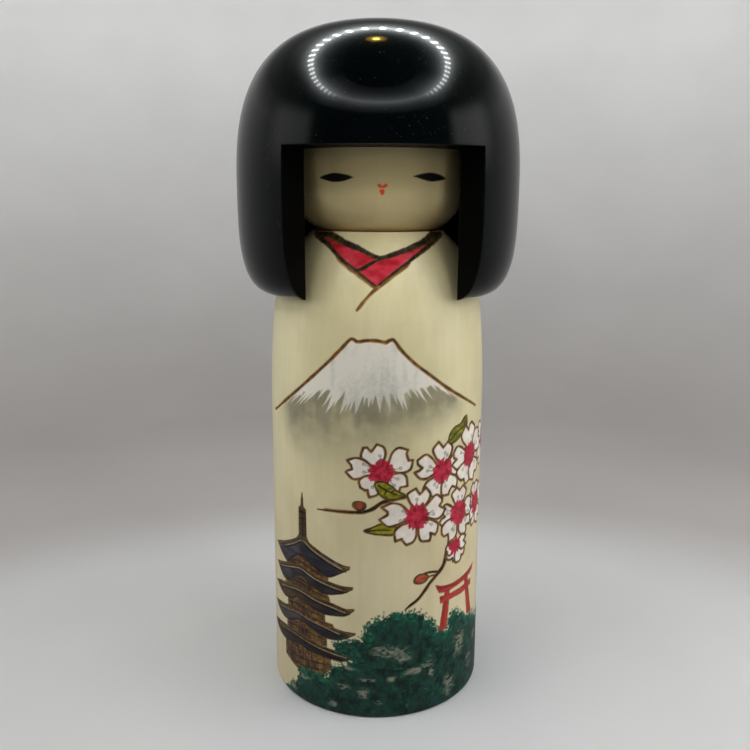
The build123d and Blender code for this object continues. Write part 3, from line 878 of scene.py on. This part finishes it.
def hair_shell(lacquer, inside_paint):
    """The cap: a dome over a bore, with a window for the face from one column to another."""
    reach = CAP_RADIUS - HEM_CENTRE_RADIUS
    share = (CAP_BORE_RADIUS - HEM_CENTRE_RADIUS) / reach
    end = math.degrees(math.acos(share ** (HEM_POWER / 2)))
    hem = superellipse(HEM_CENTRE_RADIUS, reach, -HEM_DROP, HEM_POWER, end, 0)
    crown = superellipse(0, CAP_RADIUS, CAP_TOP - WIDEST_HEIGHT, CROWN_POWER, 0, 90)
    at_ceiling = np.interp(CEILING, crown[:, 1], crown[:, 0])
    spacing = 1.8
    below = crown[crown[:, 1] < CEILING - 0.1]
    low = respaced(np.vstack([hem, below[1:], [(at_ceiling, CEILING)]]), spacing)
    above = crown[crown[:, 1] > CEILING + 0.1]
    high = respaced(np.vstack([[(at_ceiling, CEILING)], above]), spacing)
    count = 80
    window = math.radians(WINDOW_HALF_ANGLE)
    behind = np.linspace(window, 2 * math.pi - window, 2 * count - 20)[1:-1]
    columns = np.concatenate([np.linspace(-window, window, count // 2 + 1), behind])
    left, right = 0, count // 2
    solid = [*range(right, len(columns)), left]  # the columns that have hair below the ceiling
    mesh = bmesh.new()

    everything = list(range(len(columns)))

    def ring(radius, height, over):
        return dict(zip(over, circle(mesh, radius, height, columns[over])))

    def band(lower, upper, over, skin):
        pairs = list(zip(over, over[1:]))
        if over is everything:
            pairs.append((over[-1], over[0]))
        for a, b in pairs:
            mesh.faces.new((lower[a], lower[b], upper[b], upper[a])).material_index = skin

    def fan(edge, height, skin, turn):
        tip = mesh.verts.new((0, 0, height * MM))
        for a, b in zip(everything, everything[1:] + everything[:1]):
            mesh.faces.new((edge[a], edge[b])[::turn] + (tip,)).material_index = skin

    hem_ring = ring(*low[0], solid)
    outer = [hem_ring] + [ring(*p, solid) for p in low[1:-1]]
    bore = [hem_ring] + [ring(CAP_BORE_RADIUS, p[1], solid) for p in low[1:-1]]
    brow = ring(*low[-1], everything)
    corner = ring(CAP_BORE_RADIUS, CEILING, everything)
    for k in range(len(outer) - 1):
        band(outer[k], outer[k + 1], solid, 0)
        band(bore[k + 1], bore[k], solid, 1)
    band(outer[-1], brow, solid, 0)
    band(corner, bore[-1], solid, 1)
    for j, turn in ((left, 1), (right, -1)):
        for k in range(len(outer)):
            upper = (bore[k + 1][j], outer[k + 1][j]) if k + 1 < len(outer) else (corner[j], brow[j])
            lower = (outer[k][j],) if k == 0 else (outer[k][j], bore[k][j])
            mesh.faces.new((upper + lower)[::turn]).material_index = 1
    window_columns = list(range(left, right + 1))
    band(corner, brow, window_columns, 1)
    rings = [brow] + [ring(*p, everything) for p in high[1:-1]]
    for lower, upper in zip(rings, rings[1:]):
        band(lower, upper, everything, 0)
    fan(rings[-1], CAP_TOP, 0, 1)
    middle = ring(30, CEILING, everything)
    mouth = ring(SOCKET_RADIUS, CEILING, everything)
    socket = ring(SOCKET_RADIUS, SOCKET_TOP, everything)
    for lower, upper in ((middle, corner), (mouth, middle), (socket, mouth)):
        band(lower, upper, everything, 1)
    fan(socket, SOCKET_TOP, 1, -1)
    bmesh.ops.recalc_face_normals(mesh, faces=mesh.faces)

    # The lacquer rounds the edges that can be seen
    rounded = set()
    for j in (left, right):
        for stack in (outer + [brow], bore + [corner]):
            rounded |= {mesh.edges.get((a[j], b[j])) for a, b in zip(stack, stack[1:])}
    for a, b in zip(window_columns, window_columns[1:]):
        rounded.add(mesh.edges.get((brow[a], brow[b])))
    for a, b in zip(solid, solid[1:]):
        rounded.add(mesh.edges.get((hem_ring[a], hem_ring[b])))
    rounded = [e for e in rounded if e]
    bmesh.ops.bevel(
        mesh, geom=rounded, offset=HAIR_EDGE_ROUND * MM, segments=3, profile=0.5, affect="EDGES",
        clamp_overlap=True, material=0,
    )
    data = smooth_mesh("hair_shell", mesh)
    data.set_sharp_from_angle(angle=math.radians(38))
    made = add_object("hair_shell", data, lacquer, inside_paint)
    weigh = made.modifiers.new("weighted_normals", "WEIGHTED_NORMAL")
    weigh.keep_sharp = True
    return made


# ---------------------------------------------------------------- materials


class Shader:
    """The nodes of a material or a world. put() sets an input to a value, or links it to
    another node's output."""

    def __init__(self, block, surface="Principled BSDF", place="Object"):
        block.use_nodes = True
        self.block, self.tree = block, block.node_tree
        self.surface = self.tree.nodes[surface]
        self.place = self.add("TexCoord").outputs[place]

    def put(self, node, **inputs):
        for name, value in inputs.items():
            name = int(name[1:]) if name[1:].isdigit() else name.replace("_", " ")
            if isinstance(value, bpy.types.NodeSocket):
                self.tree.links.new(value, node.inputs[name])
            else:
                node.inputs[name].default_value = value

    def add(self, kind, settings=None, **inputs):
        node = self.tree.nodes.new("ShaderNode" + kind)
        for name, value in (settings or {}).items():
            setattr(node, name, value)
        self.put(node, **inputs)
        return node

    def noise(self, size, detail=2.0, roughness=0.5):
        """Random values from 0 to 1 that change over size, or (x, y, z), in millimetres."""
        size = size if hasattr(size, "__len__") else (size,) * 3
        scale = [1 / (s * MM) for s in size]
        stretched = self.add("Mapping", Vector=self.place, Scale=scale).outputs["Vector"]
        found = self.add("TexNoise", Vector=stretched, Scale=1, Detail=detail, Roughness=roughness)
        return found.outputs["Fac"]

    def ramp(self, value, *stops):
        """Colours for a value: (value, colour) pairs."""
        node = self.add("ValToRGB", Fac=value)
        colours = node.color_ramp.elements
        for k, (place, colour) in enumerate(stops):
            if k > 1:
                colours.new(place)
            colours[k].position = place
            colours[k].color = (*colour, 1)
        return node.outputs["Color"]

    def spread(self, value, low, high, start=0.0, end=1.0, smooth=False):
        """Values from low to high, spread over start to end."""
        shape = {"interpolation_type": "SMOOTHSTEP" if smooth else "LINEAR"}
        node = self.add("MapRange", shape, Value=value, _1=low, _2=high, _3=start, _4=end)
        return node.outputs["Result"]

    def math(self, operation, one, other):
        return self.add("Math", {"operation": operation}, _0=one, _1=other).outputs[0]

    def mix(self, way, share, one, other):
        settings = {"data_type": "RGBA", "blend_type": way, "clamp_factor": True}
        return self.add("Mix", settings, _0=share, _6=one, _7=other).outputs[2]

    def tinted(self, colour, value, low, tone, high):
        """The colour times a tone where the value is low, and as it is where that is high."""
        return self.mix("MULTIPLY", 1.0, colour, self.ramp(value, (low, tone), (high, (1, 1, 1))))

    def product(self, *values):
        """All the values multiplied."""
        return reduce(lambda one, other: self.math("MULTIPLY", one, other), values)

    def facing(self, cosine, outer, inner, start=0.0, end=1.0):
        """A fade between two angles in degrees, from the cosine of the angle."""
        outer, inner = (math.cos(math.radians(a)) for a in (outer, inner))
        return self.spread(cosine, outer, inner, start, end, smooth=True)

    def bump(self, value, height, under=None):
        """A bump that rises height, in millimetres, as the value goes from 0 to 1."""
        node = self.add("Bump", Height=value, Strength=1, Distance=height * MM)
        if under:
            self.put(node, Normal=under)
        return node.outputs["Normal"]


def painted_wood(name, pale, deep, glow):
    """Cream paint and clear lacquer over turned wood, with the artwork on it."""
    s = Shader(bpy.data.materials.new(name))
    grain = s.noise((2.6, 2.6, 60), 1)
    cloud = s.noise((26, 26, 40), 3, 0.55)
    turning = s.noise((60, 60, 1.1))
    fleck = s.noise((0.5, 0.5, 2.6))
    cream = s.ramp(grain, (0.3, deep), (0.52, pale), (0.76, glow))
    cream = s.tinted(cream, cloud, 0.34, srgb(240, 238, 230), 0.62)
    cream = s.tinted(cream, turning, 0.3, srgb(254, 254, 253), 0.6)
    cream = s.tinted(cream, fleck, 0.2, srgb(238, 232, 218), 0.32)
    height = s.add("SeparateXYZ", Vector=s.place).outputs["Z"]
    # A tint that is a little warmer low down and greener higher up
    height_tint = s.ramp(s.spread(height, 0.06, 0.13), (0, (1.0, 0.985, 0.98)), (1, (0.97, 1.0, 0.97)))
    cream = s.mix("MULTIPLY", 1.0, cream, height_tint)
    art = s.add("Attribute", {"attribute_name": "art"})
    bare = s.math("SUBTRACT", 1.0, art.outputs["Alpha"])
    under = s.add("VectorMath", {"operation": "SCALE"}, _0=cream, Scale=bare).outputs[0]
    colour = s.add("VectorMath", {"operation": "ADD"}, _0=under, _1=art.outputs["Color"]).outputs[0]
    # Darker where the surface is carved, in patches
    carved_darkening = s.spread(s.add("Attribute", {"attribute_name": "carved"}).outputs["Fac"], 0.05, 0.4)
    darkening_patches = s.spread(s.noise(0.9, 3, 0.6), 0.3, 0.7, 0.5, 1.0)
    colour = s.mix("MULTIPLY", s.product(carved_darkening, darkening_patches), colour, (0.8, 0.74, 0.66, 1))
    s.put(s.surface, Base_Color=colour)
    matt = s.product(art.outputs["Alpha"], 0.12)
    rough = s.math("ADD", s.spread(cloud, 0.3, 0.7, 0.4, 0.52), matt)
    s.put(s.surface, Roughness=rough)
    brushed = s.noise((14, 14, 1.2))
    skin = s.bump(grain, 0.0035)
    skin = s.bump(brushed, 0.0015, skin)
    skin = s.bump(s.noise(0.9), 0.006, skin)
    skin = s.bump(art.outputs["Alpha"], 0.03, skin)
    s.put(s.surface, Normal=skin, Coat_Weight=0.35, Coat_Roughness=0.16, Coat_IOR=1.5)
    return s.block


def bare_wood(name, pale, deep):
    """Plain beech with growth rings and small dark flecks."""
    s = Shader(bpy.data.materials.new(name))
    warped = s.add("Mapping", Vector=s.place, Location=(0.052, 0.031, 0), Scale=(1, 1, 0.06))
    rings = s.add(
        "TexWave", {"wave_type": "RINGS", "rings_direction": "Z"},
        Vector=warped.outputs["Vector"], Scale=150, Distortion=3.5, Detail=3, Detail_Scale=1.4,
    ).outputs["Fac"]
    fleck = s.noise((0.35, 0.35, 2.2))
    colour = s.ramp(rings, (0.0, deep), (0.45, pale), (1.0, pale * 1.06))
    colour = s.tinted(colour, fleck, 0.3, srgb(196, 160, 120), 0.42)
    s.put(s.surface, Base_Color=colour, Roughness=s.spread(rings, 0, 1, 0.62, 0.5))
    s.put(s.surface, Normal=s.bump(fleck, 0.03, s.bump(rings, 0.04)))
    return s.block


def black_lacquer(name):
    """Polished black lacquer: a soft sheen below and a sharp one on top."""
    s = Shader(bpy.data.materials.new(name))
    cloud = s.noise(30, 3, 0.55)
    dust = s.spread(s.noise(0.7, 0), 0.79, 0.84)
    black = s.ramp(cloud, (0.35, (0.0004, 0.0010, 0.0011)), (0.7, (0.0012, 0.0021, 0.0023)))
    s.put(s.surface, Base_Color=s.mix("MIX", s.product(dust, 0.5), black, (0.05, 0.05, 0.05, 1)))
    s.put(s.surface, Roughness=s.spread(cloud, 0.3, 0.7, 0.17, 0.23), Specular_IOR_Level=0.03)
    turned = s.noise((40, 40, 1.6))
    peel = s.noise(2.2)
    skin = s.bump(peel, 0.003, s.bump(turned, 0.0016))
    s.put(s.surface, Normal=skin, Coat_Weight=1.0, Coat_Roughness=0.055, Coat_IOR=1.5, Coat_Normal=skin)
    return s.block


def black_paint(name):
    """Thin matt black, where the cap has been cut and bored."""
    s = Shader(bpy.data.materials.new(name))
    strokes = s.noise((0.8, 0.8, 14), 3, 0.6)
    black = s.ramp(strokes, (0.35, (0.0005, 0.0006, 0.0007)), (0.65, (0.0014, 0.0015, 0.0017)))
    s.put(s.surface, Base_Color=black, Roughness=s.spread(strokes, 0.3, 0.7, 0.42, 0.58))
    s.put(s.surface, Specular_IOR_Level=0.06)
    s.put(s.surface, Normal=s.bump(strokes, 0.03))
    return s.block


def backdrop_cloth(name):
    """Pale cloth, with painted shade low on the wall and a painted pool of light on the floor near the
    doll.
    """
    s = Shader(bpy.data.materials.new(name))
    weave = s.noise(0.5)
    cloud = s.noise(120)
    split = s.add("SeparateXYZ", Vector=s.place).outputs
    flat = s.add("CombineXYZ", X=s.product(split["X"], 0.62), Y=split["Y"]).outputs[0]
    out = s.add("VectorMath", {"operation": "LENGTH"}, _0=flat).outputs["Value"]
    # Painted light: the wall is darker low down and paler higher up, and the floor is paler near the doll
    stops = (0, srgb(178, 175, 175)), (0.5, srgb(214, 214, 215)), (1, srgb(241, 243, 245))
    wall = s.ramp(s.spread(split["Z"], 0.0, 0.42), *stops)
    floor = s.spread(out, 0.12, 0.215, 1.0, 0.0, smooth=True)
    wall = s.mix("MIX", floor, wall, (*srgb(200, 202, 205), 1))
    s.put(s.surface, Base_Color=s.tinted(wall, cloud, 0.3, srgb(248, 248, 248), 0.7))
    s.put(s.surface, Roughness=s.spread(weave, 0, 1, 0.8, 0.95), Normal=s.bump(weave, 0.05))
    return s.block


# ---------------------------------------------------------------- the doll

beech = bare_wood("bare_wood", srgb(214, 176, 128), srgb(184, 140, 92))
body_paint = painted_wood("body_paint", srgb(224, 213, 176), srgb(222, 211, 174), srgb(226, 215, 179))
face_paint = painted_wood("face_paint", srgb(222, 208, 164), srgb(219, 204, 159), srgb(226, 212, 169))
lacquer = black_lacquer("black_lacquer")
inner_black = black_paint("inner_black")

body = turned_body(body_paint, beech)
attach(body, "body")
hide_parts("body")

face = turned_face(face_paint, beech)
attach(face, "head")
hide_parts("face_block")

hair = hair_shell(lacquer, inner_black)
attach(hair, "head")
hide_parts("hair_cap")

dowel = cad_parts["neck_dowel"]
dowel.data.materials.clear()
dowel.data.materials.append(beech)


# ---------------------------------------------------------------- studio


def studio_part(name, cloth, outline, start, end, shut=False):
    """Part of a pale bowl round the doll, between two angles in degrees from the front."""
    count = round((end - start) / 4)
    angles = np.radians(np.linspace(start, end, count + 1))
    mesh = bmesh.new()
    rings = [circle(mesh, r, z, angles) for r, z in outline]
    for low, high in zip(rings, rings[1:]):
        for k in range(count):
            mesh.faces.new((low[k], low[k + 1], high[k + 1], high[k]))
    if shut:
        mesh.faces.new(rings[0][:-1])
    bmesh.ops.remove_doubles(mesh, verts=mesh.verts, dist=1e-6)
    bmesh.ops.recalc_face_normals(mesh, faces=mesh.faces)
    made = add_object(name, smooth_mesh(name, mesh), cloth)
    made.visible_glossy = False  # the tent is what shows in the lacquer
    return made


# A floor that curves up into a wall. The wall behind the camera is only a backdrop for the
# views from behind, and gives no light: the tent is open there.
cloth = backdrop_cloth("backdrop_cloth")
sweep = arc((440, 420), 420, -90, -6, 24)
wall = np.vstack([sweep, [(sweep[-1, 0] + 24, 720)]])
studio_part("studio_floor", cloth, [(60, 0), (150, 0), (300, 0), (440, 0)], -180, 180, True)
studio_part("studio_wall", cloth, wall, 64, 296)
studio_part("studio_wall_in_front", cloth, wall, -64, 64).visible_diffuse = False


def add_light(name, kind, place, energy, colour, **settings):
    light = bpy.data.lights.new(name, kind)
    light.energy, light.color = energy, colour
    for key, value in settings.items():
        setattr(light, key, value)
    made = add_object(name, light)
    made.location = Vector(place) * MM
    made.visible_camera = False
    return made


# A ring of small lamps overhead, in front of the doll, in two rows. The front of the ring is
# behind a diffuser, so there the lamps don't show and only the glow round them does.
RING_CENTRE, RING_HEIGHT = (-3.9, -154.7), 450
RING_TURNS = (0, 40, 70, 90, 115, 140, 160, 180)  # degrees from the front
RING_RADII = (223, 226, 226, 219, 207, 210, 218, 229)
RING_COUNT, SOFT_COUNT = 54, 16
DIFFUSER_ENDS = 62  # degrees from the front
LAMP_WHITE = (1.0, 0.985, 0.95)
LAMP_ROWS = (-6, 6)
LAMP_RADIUS = 0.0048  # metres, as Blender's own settings are


def on_ring(turn, outwards, above=0.0):
    """A place on the ring, at degrees from its front."""
    radius = np.interp(abs(turn), RING_TURNS, RING_RADII) + outwards
    x = RING_CENTRE[0] + radius * math.sin(math.radians(turn))
    return x, RING_CENTRE[1] - radius * math.cos(math.radians(turn)), RING_HEIGHT + above


for k in range(RING_COUNT):
    turn = -180 + 360 * (k + 0.5) / RING_COUNT
    power = np.interp(abs(turn), [DIFFUSER_ENDS, 80, 110, 140, 180], [0.001, 0.008, 0.011, 0.017, 0.022])
    for row, outwards in enumerate(LAMP_ROWS):
        if abs(turn) > DIFFUSER_ENDS:
            name = f"ring_lamp_{k:02d}_{row}"
            place = on_ring(turn, outwards)
            add_light(name, "POINT", place, power, LAMP_WHITE, shadow_soft_size=LAMP_RADIUS)
# Most of the ring's light is softer than that, and comes more from its sides than from its front
for k in range(SOFT_COUNT):
    turn = -180 + 360 * (k + 0.5) / SOFT_COUNT
    power = np.interp(abs(turn), [0, 50, 80, 130, 180], [0.2, 0.22, 0.62, 0.55, 0.4])
    lamp = add_light(f"ring_soft_{k:02d}", "POINT", on_ring(turn, 0), power, LAMP_WHITE)
    lamp.data.shadow_soft_size = 0.03
    lamp.visible_glossy = False
for name, energy, colour, radius in (
    ("warm_lamp", 0.17, (1.0, 0.74, 0.16), 0.011),
    ("warm_glow", 0.07, (1.0, 0.62, 0.08), 0.021),
    ("warm_haze", 0.07, (1.0, 0.58, 0.06), 0.033),
):
    add_light(name, "POINT", (-7, 18, 620), energy, colour, shadow_soft_size=radius)


def glow_light(name):
    """Light that fades away from the lamps to both sides, and is faint in front."""
    block = bpy.data.materials.new(name)
    s = Shader(block)
    s.tree.nodes.remove(s.surface)
    off = s.add("Attribute", {"attribute_name": "off"}).outputs["Fac"]
    turned = s.add("Attribute", {"attribute_name": "turned"}).outputs["Fac"]
    fade = s.math("DIVIDE", off, s.spread(turned, 50, 105, 0.033, 0.0165, smooth=True))
    glow = s.product(
        s.math("POWER", math.exp(-1), fade),
        s.spread(turned, 45, 95, 1.9, 6.0, smooth=True),
        s.spread(s.noise(7), 0.3, 0.7, 0.85, 1.15),
    )
    light = s.add("Emission", Color=(0.93, 1.0, 1.0, 1), Strength=glow).outputs[0]
    clear = s.add("BsdfTransparent").outputs[0]
    s.put(s.tree.nodes["Material Output"], Surface=s.add("AddShader", _0=light, _1=clear).outputs[0])
    block.cycles.emission_sampling = "NONE"
    return block


def ring_glow():
    """A flat band just above the lamps, which only shows in the lacquer."""
    offsets, turns = range(-110, 111, 10), range(-180, 180, 4)
    places = [Vector(on_ring(t, o, 4)) * MM for o in offsets for t in turns]
    count = len(turns)
    faces = []
    for row in range(len(offsets) - 1):
        for k in range(count):
            a, b = row * count + k, row * count + (k + 1) % count
            faces.append((a, b, b + count, a + count))
    data = bpy.data.meshes.new("ring_glow")
    data.from_pydata(places, [], faces)
    off = [abs(o) * MM for o in offsets for t in turns]
    data.attributes.new("off", "FLOAT", "POINT").data.foreach_set("value", off)
    turned = [float(abs(t)) for o in offsets for t in turns]
    data.attributes.new("turned", "FLOAT", "POINT").data.foreach_set("value", turned)
    made = add_object("ring_glow", data, glow_light("ring_glow"))
    made.visible_camera = made.visible_diffuse = made.visible_shadow = False


ring_glow()


def aim(lamp, target):
    """Points a lamp at a place, and keeps it out of reflections."""
    way = Vector(target) * MM - lamp.location
    lamp.rotation_euler = way.to_track_quat("-Z", "Y").to_euler()
    lamp.visible_glossy = False


# Washers that light only the wall, a large and a small fill from each side, and warm light
# that only reaches the face, in under the bangs
for k in range(6):
    turn = math.radians(60 * k)
    place = (320 * math.sin(turn), 320 * math.cos(turn), 700)
    washer = add_light(f"wall_washer_{k}", "AREA", place, 0.7, (1, 1, 0.98), size=0.3)
    aim(washer, (900 * math.sin(turn), 900 * math.cos(turn), 560))
for hand, side, energy, front_energy, spot_energy in (
    ("left", -1, 0.48, 0.23, 0.86),
    ("right", 1, 1.06, 0.38, 1.02),
):
    fill = add_light(f"fill_{hand}", "AREA", (side * 500, -140, 280), energy, LAMP_WHITE, size=0.35)
    aim(fill, (0, 0, 110))
    place = (side * 320, -450, 470)
    fill = add_light(f"front_fill_{hand}", "AREA", place, front_energy, LAMP_WHITE, size=0.16)
    aim(fill, (0, 0, 200))
    spot = add_light(f"face_spot_{hand}", "SPOT", (side * 200, -530, 298), spot_energy, (1.0, 0.88, 0.62))
    spot.data.spot_size, spot.data.spot_blend = math.radians(14), 0.5
    spot.data.shadow_soft_size = 0.075
    aim(spot, (0, -30, 217))

# The tent round it: pale at the sides and behind, open in front, with a dark hole overhead
world = bpy.data.worlds.new("tent")
bpy.context.scene.world = world
s = Shader(world, "Background", "Generated")
split = s.add("SeparateXYZ", Vector=s.place).outputs
level = s.math("SQRT", s.math("SUBTRACT", 1.0, s.product(split["Z"], split["Z"])), 0.0)
ahead = s.math("DIVIDE", s.product(split["Y"], -1.0), level)
open_front = s.product(s.facing(ahead, 84, 46), s.spread(split["Z"], -0.5, -0.2, smooth=True))
hole_way = (0, -math.cos(math.radians(79)), math.sin(math.radians(79)))
along_hole = s.add("VectorMath", {"operation": "DOT_PRODUCT"}, _0=s.place, _1=hole_way)
hole = s.facing(along_hole.outputs["Value"], 54, 38)
walls = s.ramp(
    s.spread(split["Z"], -1, 1), (0.0, (0.26, 0.255, 0.25)), (0.25, (0.17, 0.168, 0.165)),
    (0.5, (0.24, 0.239, 0.235)), (0.66, (0.36, 0.36, 0.355)), (0.75, (0.12, 0.12, 0.118)),
    (0.83, (0.105, 0.105, 0.105)), (0.9, (0.27, 0.27, 0.268)),
)
bright = s.product(s.spread(split["X"], -0.8, 0.8, 0.97, 0.98), s.spread(ahead, -1, 0, 1.12, 0.62))
walls = s.add("VectorMath", {"operation": "SCALE"}, _0=walls, Scale=bright).outputs[0]
tent = s.mix("MIX", s.math("MAXIMUM", open_front, hole), walls, (0.009, 0.013, 0.015, 1))
# Two soft patches at its front edges
patch = s.product(
    s.facing(ahead, 104, 84),
    s.facing(ahead, 64, 53, 1, 0),
    s.spread(split["Z"], 0.0, 0.2, smooth=True),
    s.spread(split["Z"], 0.35, 0.48, 1, 0, smooth=True),
    s.spread(split["X"], -0.3, 0.3, 0.29, 0.46),
)
tent = s.mix("ADD", patch, tent, (1, 1, 0.98, 1))
s.put(s.surface, Color=tent, Strength=1.0)

# The camera looks down on the doll from a little to the left of the way its head faces
CAMERA_TURN, CAMERA_PITCH, CAMERA_ROLL = np.radians((-2.5, 12.5, 0.25))
CAMERA_AWAY, CAMERA_LEFT, CAMERA_HEIGHT = 349.1, 0.9, 214.2
camera_data = bpy.data.cameras.new("camera")
camera_data.lens, camera_data.sensor_width = 39.26, 36
camera_data.clip_start, camera_data.clip_end = 0.01, 20
camera = add_object("camera", camera_data)
away = Vector((math.sin(CAMERA_TURN), -math.cos(CAMERA_TURN), 0))
rightward = Vector((math.cos(CAMERA_TURN), math.sin(CAMERA_TURN), 0))
place = (away * CAMERA_AWAY - rightward * CAMERA_LEFT + Vector((0, 0, CAMERA_HEIGHT))) * MM
looking = Matrix.Rotation(CAMERA_TURN, 4, "Z") @ Matrix.Rotation(math.pi / 2 - CAMERA_PITCH, 4, "X")
camera.matrix_world = Matrix.Translation(place) @ looking @ Matrix.Rotation(CAMERA_ROLL, 4, "Z")
bpy.context.scene.camera = camera
bpy.context.scene.view_settings.view_transform = "Standard"
